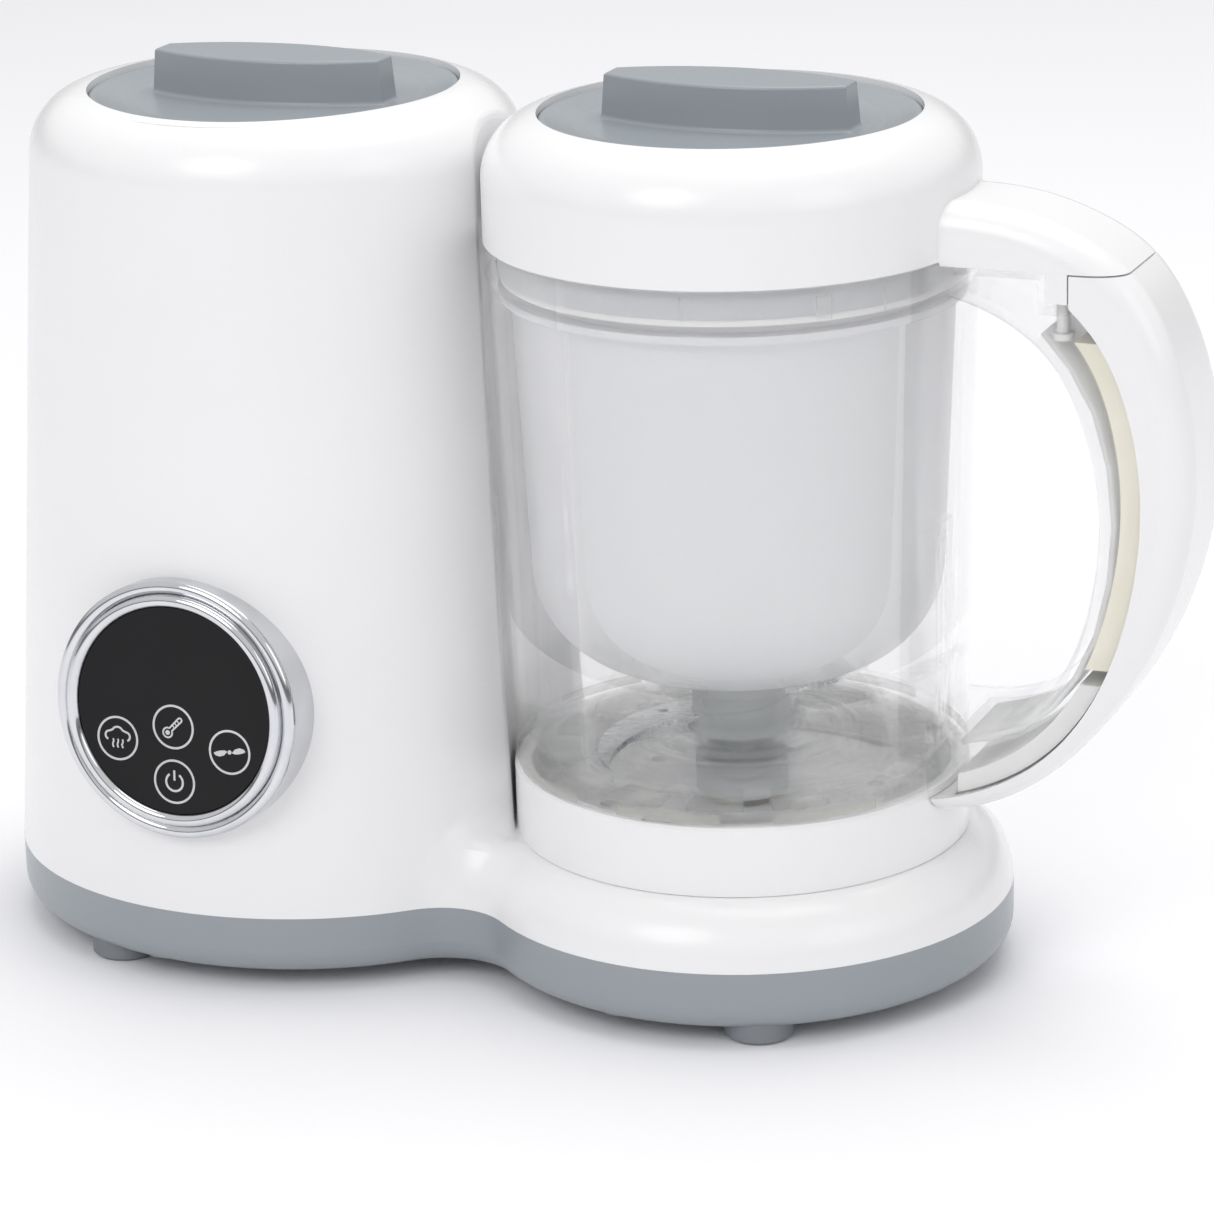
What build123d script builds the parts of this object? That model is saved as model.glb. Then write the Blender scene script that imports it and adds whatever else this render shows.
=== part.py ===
"""Baby food maker: steaming tower, clear blending jar, lid, basket, blades and drive train.

Millimetres, Z up, floor at Z = 0. The tower stands at -X, the jar at +X and the
control panel looks along -Y. The part is symmetric about XZ apart from the panel.
"""
import os
from math import cos, pi, radians, sin, sqrt

from build123d import *

os.makedirs("parts", exist_ok=True)

# ---------------------------------------------------------------- driving sizes
JX = 39.4                      # jar, lid and drive axis
TX = -82.4                     # tower, tank and motor axis
SPLIT_Z = 19.8                 # white housing above, grey pan below
TOP_Z = 216.0                  # crown of tower and lid
WALL = 2.6                     # housing wall

TOWER_A, TOWER_B = 76.0, 70.7  # tower half lengths along X and Y at SPLIT_Z
TOWER_A_TOP, TOWER_B_TOP = 61.6, 57.3   # the same at TOP_Z, before rounding
CROWN_R = 16.0                 # rounding of the tower crown
SHOULDER_R = 67.9              # housing foot around the jar
WAIST_R = 18.0                 # blend between tower and jar in plan
SEAT_Z = 35.3                  # top of the housing under the jar seat
FLANK_R0, FLANK_R1 = 57.6, 63.4  # hollow flank around the jar axis, bottom and top

PAN_Z = 4.2                    # underside of the grey pan
PAN_WALL = 2.4

COLLAR_R = 56.9                # white seat collar
COLLAR_TOP = 52.6
SEAT_FLOOR = 40.8

JAR_R0, JAR_R1 = 56.3, 59.4    # jar outside radius at its foot and under its flange
JAR_Z0, JAR_Z1 = 53.0, 176.8
FLANGE_R = 60.3
JAR_TOP = 184.9
LEDGE_Z = 172.0                # basket ledge inside the jar
JAR_FLOOR = 58.2
FOOT_TOP = 55.2                # foot ring meets the underside of the jar floor

LID_R = 60.4
LID_Z = 185.6
LID_CROWN = 15.5
PORT_Z = 193.0                 # steam port height

CAP_R = 46.2                   # grey twist cap
CAP_RIM = 214.6
CAP_DISH = 212.4
KNOB_TOP = 223.5
NECK_R = 39.2                  # bore of the two bayonet necks
NECK_Z0, NECK_Z1 = 204.0, 209.4

HANDLE_W = 17.0                # half width of handle and spur
HANDLE_WALL = 2.6
PARTING_Z = 184.8              # lid spur above, handle below

PANEL_Z = 73.0                 # centre of the control panel
PANEL_TILT = 3.9               # follows the draft of the tower
BEZEL_R, GLASS_R = 32.8, 26.2

BELT_Z0, BELT_Z1 = 10.2, 16.2
MOTOR_PULLEY_R, DRIVEN_PULLEY_R = 9.0, 27.0
BELT_T = 1.6
SHAFT_R = 4.0
FIT = 0.05                     # running clearance on every shaft


# ---------------------------------------------------------------- helpers
def at(x, y=0.0, z=0.0):
    return Location((x, y, z))


def tube(cx, cy, r_out, r_in, z0, z1):
    """Upright ring; r_in = 0 gives a disc."""
    with BuildPart() as p:
        with Locations(at(cx, cy, z0)):
            Cylinder(r_out, z1 - z0, align=(Align.CENTER, Align.CENTER, Align.MIN))
            if r_in > 0:
                Cylinder(r_in, z1 - z0, align=(Align.CENTER, Align.CENTER, Align.MIN),
                         mode=Mode.SUBTRACT)
    return p.part


def block(x0, x1, y0, y1, z0, z1):
    with BuildPart() as p:
        with Locations(at((x0 + x1) / 2, (y0 + y1) / 2, (z0 + z1) / 2)):
            Box(x1 - x0, y1 - y0, z1 - z0)
    return p.part


def turned(cx, points):
    """Closed straight-sided section (r, z) revolved about an upright axis at x = cx."""
    with BuildPart() as p:
        with BuildSketch(Plane(origin=(cx, 0, 0), x_dir=(1, 0, 0), z_dir=(0, -1, 0))):
            with BuildLine():
                Polyline(*points, close=True)
            make_face()
        revolve(axis=Axis((cx, 0, 0), (0, 0, 1)), revolution_arc=360)
    return p.part


def polar(radius, degrees_from_x):
    a = radians(degrees_from_x)
    return radius * cos(a), radius * sin(a)


def tower_axes(z, inset=0.0):
    """Half lengths of the tower's oval plan at height z."""
    k = (z - SPLIT_Z) / (TOP_Z - SPLIT_Z)
    return (TOWER_A + k * (TOWER_A_TOP - TOWER_A) - inset,
            TOWER_B + k * (TOWER_B_TOP - TOWER_B) - inset)


def tower_body(z0, z1, inset, crown):
    """Drafted oval tower with a rounded crown."""
    with BuildPart() as p:
        for z in (z0, z1):
            a, b = tower_axes(z, inset)
            with BuildSketch(Plane.XY.offset(z)):
                with Locations((TX, 0)):
                    Ellipse(a, b)
        loft(ruled=True)
        if crown > 0:
            fillet(p.part.edges().group_by(Axis.Z)[-1], crown)
    return p.part


def flank_cone(grow, z0):
    """Space kept free around the jar axis above z0."""
    with BuildPart() as p:
        with BuildSketch(Plane.XY.offset(z0)):
            with Locations((JX, 0)):
                Circle(FLANK_R0 + grow)
        with BuildSketch(Plane.XY.offset(TOP_Z + 4)):
            with Locations((JX, 0)):
                Circle(FLANK_R1 + grow)
        loft(ruled=True)
    return p.part


def shoulder_body(inset, z0, z1):
    """Low rounded step of the housing that carries the jar seat."""
    r0 = SHOULDER_R - inset
    with BuildPart() as p:
        with BuildSketch(Plane(origin=(JX, 0, 0), x_dir=(1, 0, 0), z_dir=(0, -1, 0))):
            with BuildLine():
                Line((0, z0), (r0, z0))
                Spline((r0, z0), (r0 - 1.6, z0 + 0.45 * (z1 - z0)), (COLLAR_R - inset, z1),
                       tangents=((-0.05, 1), (-1, 0.42)))
                Line((COLLAR_R - inset, z1), (0, z1))
                Line((0, z1), (0, z0))
            make_face()
        revolve(axis=Axis((JX, 0, 0), (0, 0, 1)), revolution_arc=360)
    return p.part


def pan_body(z0, z1, inset, bottom_r):
    """Plan outline of the foot: tower oval, jar circle and the waist blend."""
    with BuildPart() as p:
        with BuildSketch(Plane.XY.offset(z0)):
            with Locations((TX, 0)):
                Ellipse(TOWER_A - inset, TOWER_B - inset)
            with Locations((JX, 0)):
                Circle(SHOULDER_R - inset)
        extrude(amount=z1 - z0)
        waist = p.part.edges().filter_by(Axis.Z)
        waist = [e for e in waist if abs(e.center().Y) > 20]
        fillet(waist, WAIST_R + inset)
        fillet(p.part.edges().group_by(Axis.Z)[0], bottom_r)
    return p.part


def save(shape, name):
    shape.label = name
    export_step(shape, f"parts/{name}.step")


# ---------------------------------------------------------------- fixing points
def tower_spot(degrees_from_x, inset):
    a = radians(degrees_from_x)
    return TX + (TOWER_A - inset) * cos(a), (TOWER_B - inset) * sin(a)


def shoulder_spot(degrees_from_x, inset):
    x, y = polar(SHOULDER_R - inset, degrees_from_x)
    return JX + x, y


SCREWS = [tower_spot(a, 8.6) for a in (180, 100, 260)]
SCREWS += [shoulder_spot(a, 8.6) for a in (0, 100, 260)]
FEET = [(-109.2, 54.0), (-109.2, -54.0), (62.6, 52.0), (62.6, -52.0)]
MOTOR_POSTS = [(TX + sx * 23.0, sy * 23.0) for sx in (-1, 1) for sy in (-1, 1)]
COLLAR_SCREWS = [(JX + polar(54.9, a)[0], polar(54.9, a)[1]) for a in (45, 135, 225, 315)]

# panel frame: local z runs out of the panel, local x along world X
panel = Plane(origin=(TX, -(TOWER_B - 3.64), PANEL_Z), x_dir=(1, 0, 0),
              z_dir=(0, -cos(radians(PANEL_TILT)), sin(radians(PANEL_TILT))))

# ---------------------------------------------------------------- shared sections
def cone(cx, r0, z0, r1, z1):
    with BuildPart() as p:
        with Locations(at(cx, 0, z0)):
            Cone(r0, r1, z1 - z0, align=(Align.CENTER, Align.CENTER, Align.MIN))
    return p.part


def across(cx, cz, r_out, r_in, x0, x1):
    """Ring lying along X."""
    with BuildPart() as p:
        with BuildSketch(Plane(origin=(x0, 0, cz), x_dir=(0, 1, 0), z_dir=(1, 0, 0))):
            Circle(r_out)
            if r_in > 0:
                Circle(r_in, mode=Mode.SUBTRACT)
        extrude(amount=x1 - x0)
    return p.part


def panel_ring(points):
    """Section (r, height above the panel plane) revolved about the panel axis."""
    with BuildPart() as p:
        with BuildSketch(Plane(origin=panel.origin, x_dir=panel.x_dir,
                               z_dir=-panel.y_dir)):
            with BuildLine():
                Polyline(*points, close=True)
            make_face()
        revolve(axis=Axis(panel.origin, panel.z_dir), revolution_arc=360)
    return p.part


def side_face(points_out, points_back):
    """Closed XZ section made of two smooth curves given in jar coordinates."""
    with BuildSketch(Plane(origin=(JX, 0, 0), x_dir=(1, 0, 0), z_dir=(0, -1, 0))) as s:
        with BuildLine():
            a = Spline(*points_out)
            b = Spline(*points_back)
            Line(a @ 1, b @ 0)
            Line(b @ 1, a @ 0)
        make_face()
    return s.sketch


# ---------------------------------------------------------------- white housing
def on_tower(edge):
    a, b = tower_axes(SEAT_Z)
    return all(abs(((p.X - TX) / a) ** 2 + (p.Y / b) ** 2 - 1) < 0.01
               for p in (edge @ 0, edge @ 0.5, edge @ 1))


with BuildPart() as housing_void:
    add(tower_body(SPLIT_Z, TOP_Z - WALL, WALL, CROWN_R - WALL))
    add(shoulder_body(WALL, SPLIT_Z, SEAT_Z - WALL))
    add(flank_cone(WALL, SEAT_Z - WALL), mode=Mode.SUBTRACT)

with BuildPart() as upper_housing:
    add(tower_body(SPLIT_Z, TOP_Z, 0, CROWN_R))
    add(shoulder_body(0, SPLIT_Z, SEAT_Z))
    fillet([e for e in upper_housing.edges()
            if 14 < e.bounding_box().size.Z < 17 and abs(e.center().Y) > 24], WAIST_R)
    fillet([e for e in upper_housing.edges()
            if abs(e.center().Z - SEAT_Z) < 0.1 and e.bounding_box().size.Z < 0.1
            and 10 < e.length < 60], 8)
    add(flank_cone(0, SEAT_Z), mode=Mode.SUBTRACT)
    fillet([e for e in upper_housing.edges() if e.bounding_box().size.Z > 100], 3)
    add(housing_void.part, mode=Mode.SUBTRACT)
    # cap recess and the tube that carries the tank neck
    add(tube(TX, 0, CAP_R + 3.0, 0, NECK_Z1, TOP_Z - WALL / 2))
    add(tube(TX, 0, CAP_R + 0.4, 0, NECK_Z1 - 1, TOP_Z + 2), mode=Mode.SUBTRACT)
    # window for the control panel
    with Locations(panel.offset(-16)):
        Cylinder(BEZEL_R, 32, align=(Align.CENTER, Align.CENTER, Align.MIN),
                 mode=Mode.SUBTRACT)
    # opening under the jar seat, steam outlet
    add(tube(JX, 0, 53.0, 0, SEAT_Z - WALL - 4, SEAT_Z + 1), mode=Mode.SUBTRACT)
    add(across(0, PORT_Z, 5.2, 0, JX - 72, JX - 58), mode=Mode.SUBTRACT)
    # screw bosses against the wall
    with Locations([at(x, y, SPLIT_Z - 5.8) for x, y in SCREWS]):
        Cylinder(4.4, 12, align=(Align.CENTER, Align.CENTER, Align.MIN))
        Cylinder(1.7, 10, align=(Align.CENTER, Align.CENTER, Align.MIN), mode=Mode.SUBTRACT)
    for i, (x, y) in enumerate(SCREWS):
        cx = TX if i < 3 else JX
        n = Vector(x - cx, y).normalized()
        with Locations(Location(Plane(origin=(x + n.X * 4.3, y + n.Y * 4.3, SPLIT_Z),
                                      x_dir=(n.X, n.Y, 0), z_dir=(0, 0, 1)))):
            Box(4.6, 2.4, 6.2, align=(Align.CENTER, Align.CENTER, Align.MIN))
    # screw seats for the collar
    with Locations([at(x, y, SEAT_Z - 8) for x, y in COLLAR_SCREWS]):
        Cylinder(1.3, 10, align=(Align.CENTER, Align.CENTER, Align.MIN), mode=Mode.SUBTRACT)

# ---------------------------------------------------------------- grey pan
with BuildPart() as base_pan:
    add(pan_body(PAN_Z, SPLIT_Z, 0, 6.5))
    add(pan_body(PAN_Z + PAN_WALL, SPLIT_Z + 0.001, PAN_WALL, 4.1), mode=Mode.SUBTRACT)
    with Locations([at(x, y, PAN_Z) for x, y in SCREWS]):
        Cylinder(4.4, SPLIT_Z - 5.8 - PAN_Z, align=(Align.CENTER, Align.CENTER, Align.MIN))
        Cylinder(3.8, 3.4, align=(Align.CENTER, Align.CENTER, Align.MIN), mode=Mode.SUBTRACT)
        Cylinder(2.1, 12, align=(Align.CENTER, Align.CENTER, Align.MIN), mode=Mode.SUBTRACT)
    with Locations([at(x, y, PAN_Z + 1) for x, y in MOTOR_POSTS]):
        Cylinder(4.0, 22.5 - PAN_Z - 1, align=(Align.CENTER, Align.CENTER, Align.MIN))
    with Locations([at(x, y, PAN_Z - 1) for x, y in FEET]):
        Cylinder(8.6, 2.8, align=(Align.CENTER, Align.CENTER, Align.MIN), mode=Mode.SUBTRACT)
    # cooling slots under the motor and under the drive
    with Locations([at(TX + i * 6.0, 0, PAN_Z - 1) for i in range(-4, 5)]):
        Box(2.4, 26, 6, align=(Align.CENTER, Align.CENTER, Align.MIN), mode=Mode.SUBTRACT)
    with Locations([at(JX + i * 6.0, 0, PAN_Z - 1) for i in range(-3, 4)]):
        Box(2.4, 24, 6, align=(Align.CENTER, Align.CENTER, Align.MIN), mode=Mode.SUBTRACT)
    # mains inlet at the rear
    with BuildSketch(Plane(origin=(TX, 60, 12.6), x_dir=(1, 0, 0), z_dir=(0, 1, 0))):
        Circle(5.4)
    extrude(amount=16, mode=Mode.SUBTRACT)

with BuildPart() as feet:
    with Locations([at(x, y, 0) for x, y in FEET]):
        Cylinder(8.6, PAN_Z + 1.8, align=(Align.CENTER, Align.CENTER, Align.MIN))
    chamfer(feet.faces().group_by(Axis.Z)[0].edges(), 0.9)

with BuildPart() as base_screws:
    with Locations([at(x, y, PAN_Z + 1.0) for x, y in SCREWS]):
        Cylinder(3.3, 2.4, align=(Align.CENTER, Align.CENTER, Align.MIN))
        Cylinder(1.65, 14, align=(Align.CENTER, Align.CENTER, Align.MIN))
        Box(4.2, 0.9, 1.2, align=(Align.CENTER, Align.CENTER, Align.MIN), mode=Mode.SUBTRACT)
        Box(0.9, 4.2, 1.2, align=(Align.CENTER, Align.CENTER, Align.MIN), mode=Mode.SUBTRACT)

with BuildPart() as cord_inlet:
    with BuildSketch(Plane(origin=(TX, 66.0, 12.6), x_dir=(1, 0, 0), z_dir=(0, 1, 0))):
        Circle(5.4)
    extrude(amount=6.0)
    with BuildSketch(Plane(origin=(TX, TOWER_B - 1.2, 12.6), x_dir=(1, 0, 0), z_dir=(0, 1, 0))):
        Circle(7.0)
    extrude(amount=5.1)
    add(base_pan.part, mode=Mode.SUBTRACT)
    fillet(cord_inlet.faces().sort_by(Axis.Y)[-1].edges(), 0.9)
    with BuildSketch(Plane(origin=(TX, 60.0, 12.6), x_dir=(1, 0, 0), z_dir=(0, 1, 0))):
        Circle(3.4)
    extrude(amount=20, mode=Mode.SUBTRACT)

# ---------------------------------------------------------------- jar seat
with BuildPart() as seat_collar:
    add(turned(JX, [(COLLAR_R, SEAT_Z), (COLLAR_R, COLLAR_TOP - 1.0), (COLLAR_R - 1.0, COLLAR_TOP),
                    (52.9, COLLAR_TOP), (52.3, COLLAR_TOP - 0.6), (52.3, SEAT_FLOOR),
                    (9.6, SEAT_FLOOR), (9.6, 39.2), (11.0, 39.2), (11.0, 18.4), (14.0, 18.4),
                    (14.0, 38.2), (50.0, 38.2), (50.0, SEAT_Z)]))
    # two key slots stop the jar turning
    for side in (-1, 1):
        add(block(JX - 5.2, JX + 5.2, side * 53.2 - 1.7, side * 53.2 + 1.7,
                  COLLAR_TOP - 7, COLLAR_TOP + 1), mode=Mode.SUBTRACT)
    # drain slots in the seat floor and the switch pin hole
    with Locations([at(JX + polar(34, a)[0], polar(34, a)[1], 37) for a in range(30, 360, 60)]):
        Cylinder(2.2, 6, align=(Align.CENTER, Align.CENTER, Align.MIN), mode=Mode.SUBTRACT)
    with Locations(at(JX + 49.6, 0, 34)):
        Cylinder(1.7, 10, align=(Align.CENTER, Align.CENTER, Align.MIN), mode=Mode.SUBTRACT)
    with Locations([at(x, y, SEAT_Z - 1) for x, y in COLLAR_SCREWS]):
        Cylinder(1.3, 7, align=(Align.CENTER, Align.CENTER, Align.MIN), mode=Mode.SUBTRACT)

with BuildPart() as collar_screws:
    with Locations([at(x, y, SEAT_Z - WALL - 2.0) for x, y in COLLAR_SCREWS]):
        Cylinder(1.25, 9.4, align=(Align.CENTER, Align.CENTER, Align.MIN))

bearing_lower = tube(JX, 0, 11.0, SHAFT_R + FIT, 18.6, 25.6)
bearing_upper = tube(JX, 0, 11.0, SHAFT_R + FIT, 32.0, 39.2)

with BuildPart() as drive_spindle:
    add(tube(JX, 0, SHAFT_R, 0, 8.6, 44.0))
    add(tube(JX, 0, SHAFT_R + 2.2, SHAFT_R - 0.5, 17.2, 18.2))

with BuildPart() as driven_pulley:
    add(turned(JX, [(SHAFT_R, 8.8), (8.0, 8.8), (8.0, 12.4), (DRIVEN_PULLEY_R - 2.4, 12.4),
                    (DRIVEN_PULLEY_R - 2.4, 9.4), (DRIVEN_PULLEY_R + 1.6, 9.4),
                    (DRIVEN_PULLEY_R + 1.6, BELT_Z0 - 0.2), (DRIVEN_PULLEY_R, BELT_Z0 - 0.2),
                    (DRIVEN_PULLEY_R, BELT_Z1 + 0.2), (DRIVEN_PULLEY_R + 1.6, BELT_Z1 + 0.2),
                    (DRIVEN_PULLEY_R + 1.6, BELT_Z1 + 0.8), (DRIVEN_PULLEY_R - 2.4, BELT_Z1 + 0.8),
                    (DRIVEN_PULLEY_R - 2.4, 14.4), (8.0, 14.4), (8.0, 17.2), (SHAFT_R, 17.2)]))
    with Locations([at(JX + polar(16, a)[0], polar(16, a)[1], 11) for a in range(0, 360, 60)]):
        Cylinder(4.6, 6, align=(Align.CENTER, Align.CENTER, Align.MIN), mode=Mode.SUBTRACT)

with BuildPart() as drive_coupling:
    add(tube(JX, 0, 6.4, 0, 41.4, 50.0))
    for a in range(0, 180, 60):
        with Locations(Location((JX, 0, 42.4), (0, 0, a))):
            Box(16.0, 2.6, 7.0, align=(Align.CENTER, Align.CENTER, Align.MIN))
    add(tube(JX, 0, SHAFT_R, 0, 41.0, 44.0), mode=Mode.SUBTRACT)

# ---------------------------------------------------------------- motor and belt
with BuildPart() as motor_plate:
    add(tube(TX, 0, 37.0, 6.0, 22.5, 25.0))
    with Locations([at(x, y, 22) for x, y in MOTOR_POSTS]):
        Cylinder(1.8, 4, align=(Align.CENTER, Align.CENTER, Align.MIN), mode=Mode.SUBTRACT)

with BuildPart() as motor_screws:
    with Locations([at(x, y, 25.0) for x, y in MOTOR_POSTS]):
        Cylinder(3.0, 2.0, align=(Align.CENTER, Align.CENTER, Align.MIN))
    with Locations([at(x, y, 22.5) for x, y in MOTOR_POSTS]):
        Cylinder(1.75, 3.0, align=(Align.CENTER, Align.CENTER, Align.MIN))

with BuildPart() as motor_can:
    add(turned(TX, [(2.55, 25.0), (27.0, 25.0), (27.0, 88.0), (7.0, 88.0), (7.0, 91.0),
                    (2.55, 91.0), (2.55, 86.2), (25.4, 86.2), (25.4, 27.0), (2.55, 27.0)]))

with BuildPart() as motor_magnets:
    add(tube(TX, 0, 25.4, 21.5, 36, 76))
    for y0, y1 in ((-30, 30),):
        add(block(TX - 5, TX + 5, y0, y1, 30, 80), mode=Mode.SUBTRACT)

with BuildPart() as motor_rotor:
    add(tube(TX, 0, 2.5, 0, 8.8, 89.5))
    add(tube(TX, 0, 20.6, 2.0, 38, 74))
    for a in range(0, 360, 40):
        x, y = polar(19.4, a)
        add(tube(TX + x, y, 1.6, 0, 37, 75), mode=Mode.SUBTRACT)
    add(tube(TX, 0, 8.0, 2.0, 76, 84))

motor_pulley = turned(TX, [(2.5, 8.9), (MOTOR_PULLEY_R + 1.6, 8.9),
                           (MOTOR_PULLEY_R + 1.6, BELT_Z0 - 0.2), (MOTOR_PULLEY_R, BELT_Z0 - 0.2),
                           (MOTOR_PULLEY_R, BELT_Z1 + 0.2), (MOTOR_PULLEY_R + 1.6, BELT_Z1 + 0.2),
                           (MOTOR_PULLEY_R + 1.6, 17.8), (2.5, 17.8)])


def belt_face(grow):
    """Open-belt outline around both pulleys."""
    r1, r2 = MOTOR_PULLEY_R + FIT + grow, DRIVEN_PULLEY_R + FIT + grow
    span = JX - TX
    tilt = (r2 - r1) / span
    run = sqrt(1 - tilt * tilt)
    with BuildSketch(Plane.XY.offset(BELT_Z0)) as s:
        with BuildLine():
            Polyline((TX - tilt * r1, run * r1), (JX - tilt * r2, run * r2),
                     (JX - tilt * r2, -run * r2), (TX - tilt * r1, -run * r1), close=True)
        make_face()
        with Locations((TX, 0)):
            Circle(r1)
        with Locations((JX, 0)):
            Circle(r2)
    return s.sketch


with BuildPart() as drive_belt:
    extrude(belt_face(BELT_T), amount=BELT_Z1 - BELT_Z0)
    extrude(belt_face(0), amount=BELT_Z1 - BELT_Z0, mode=Mode.SUBTRACT)

# ---------------------------------------------------------------- jar switch
switch_x = JX + 47.4
with BuildPart() as micro_switch:
    add(block(switch_x - 4.6, switch_x + 4.4, -9.5, 9.5, 21.0, 31.6))
    with Locations(at(JX + 49.6, 0, 27.4)):
        Cylinder(1.6, 6, align=(Align.CENTER, Align.CENTER, Align.MIN), mode=Mode.SUBTRACT)
    add(block(switch_x - 3.0, switch_x + 3.0, -7.0, -6.2, 17.0, 21.0))
    add(block(switch_x - 3.0, switch_x + 3.0, 6.2, 7.0, 17.0, 21.0))
    # bracket up to the underside of the seat floor
    add(block(switch_x - 4.6, switch_x - 3.0, -9.5, 9.5, 31.6, 38.2))

switch_pin = tube(JX + 49.6, 0, 1.5, 0, 28.2, 40.5)

# ---------------------------------------------------------------- control panel
control_bezel = panel_ring([(BEZEL_R - 2.4, -11.5), (BEZEL_R, -11.5), (BEZEL_R, 2.0),
                            (32.5, 3.2), (31.9, 3.9), (31.2, 4.1), (30.5, 3.8), (29.9, 3.1),
                            (29.6, 2.9), (29.3, 3.3), (28.9, 4.6), (28.3, 5.4), (27.6, 5.7),
                            (26.9, 5.5), (26.4, 5.0), (26.2, 4.4), (26.2, 1.4), (30.4, 1.4)])
touch_glass = panel_ring([(0, 1.8), (GLASS_R, 1.8), (GLASS_R, 4.4), (0, 4.4)])
with BuildPart() as display_board:
    add(panel_ring([(0, -3.0), (27.6, -3.0), (27.6, -1.4), (0, -1.4)]))
    add(panel_ring([(26.8, -1.5), (30.4, -1.5), (30.4, 0.4), (26.8, 0.4)]))
    with Locations([panel.offset(-1.4) * Pos(x, y, 0) for x, y in
                    ((-15.5, -8.5), (0, -4.0), (0, -18.0), (15.5, -8.5))]):
        Cylinder(4.2, 3.2, align=(Align.CENTER, Align.CENTER, Align.MIN))
    with Locations([panel.offset(-3.0) * Pos(x, 8, 0) for x in (-10, 10)]):
        Box(9, 9, 2.4, align=(Align.CENTER, Align.CENTER, Align.MAX))

with BuildPart() as power_board:
    add(block(TX - 34, TX + 34, 42.0, 43.6, 28, 92))
with BuildPart() as power_parts:
    for x, z, w, h, d in ((-20, 42, 20, 22, 9), (6, 40, 12, 18, 8), (24, 44, 10, 10, 8),
                          (-18, 74, 16, 12, 7), (8, 70, 20, 10, 6), (26, 76, 8, 16, 7)):
        add(block(TX + x - w / 2, TX + x + w / 2, 42.0 - d, 42.0, z - h / 2, z + h / 2))
with BuildPart() as board_posts:
    for x in (-30, 30):
        for z in (32, 88):
            a, b = tower_axes(z, WALL)
            reach = b * sqrt(1 - (x / a) ** 2) + 0.8
            add(block(TX + x - 2.5, TX + x + 2.5, 43.6, reach, z - 2.5, z + 2.5))
    add(upper_housing.part, mode=Mode.SUBTRACT)

# ---------------------------------------------------------------- tank and boiler
with BuildPart() as water_tank:
    add(turned(TX, [(0, 112.0), (48.4, 112.0), (50.0, 113.6), (50.0, NECK_Z1),
                    (NECK_R, NECK_Z1), (NECK_R, NECK_Z0), (47.6, NECK_Z0), (47.6, 115.0),
                    (46.8, 114.4), (26.0, 114.4), (26.0, 113.2), (0, 113.2)]))
    for a in (0, 120, 240):
        with Locations(Location((TX, 0, NECK_Z0 - 1), (0, 0, a))):
            with Locations((41.0, 0, 0)):
                Box(5.0, 13.0, 8.0, align=(Align.CENTER, Align.CENTER, Align.MIN),
                    mode=Mode.SUBTRACT)
tank_gasket = tube(TX, 0, 39.0, 35.0, 109.6, 112.0)
with BuildPart() as boiler_plate:
    add(tube(TX, 0, 42.0, 0, 105.0, 109.6))
    add(tube(TX, 0, 30.5, 22.5, 103.0, 105.0))
with BuildPart() as heating_element:
    with BuildSketch(Plane(origin=(TX, 0, 0), x_dir=(1, 0, 0), z_dir=(0, -1, 0))):
        with Locations((26.5, 99.8)):
            Circle(3.2)
    revolve(axis=Axis((TX, 0, 0), (0, 0, 1)), revolution_arc=300)
    for a in (0, -60):
        x, y = polar(26.5, a)
        with Locations(Location((TX + x, y, 99.8), (0, 0, a))):
            Cylinder(2.0, 14, rotation=(90, 0, 0))
with BuildPart() as thermostat:
    add(tube(TX, 0, 9.0, 0, 98.0, 105.0))
    add(block(TX - 13, TX - 8, -2, 2, 99, 100))
    add(block(TX + 8, TX + 13, -2, 2, 99, 100))
with BuildPart() as water_sensor:
    add(tube(TX - 15.5, 12, 2.6, 0, 98.0, 105.0))

TUBE_X = TX + 54.4
with BuildPart() as steam_tube:
    with BuildLine() as tube_path:
        FilletPolyline((TX + 42.0, 0, 107.3), (TUBE_X, 0, 107.3), (TUBE_X - 2.0, 0, PORT_Z),
                       (TX + 57.4, 0, PORT_Z), radius=2.6)
    with BuildSketch(Plane(origin=tube_path.line @ 0, z_dir=tube_path.line % 0)):
        Circle(2.1)
        Circle(1.4, mode=Mode.SUBTRACT)
    sweep()
with BuildPart() as steam_nozzle:
    add(across(0, PORT_Z, 7.4, 0, JX - 62.0, JX - 61.2))
    add(across(0, PORT_Z, 5.2, 0, TX + 55.6, JX - 62.0))
    add(across(0, PORT_Z, 2.15, 0, TX + 50, JX - 60), mode=Mode.SUBTRACT)


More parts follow.
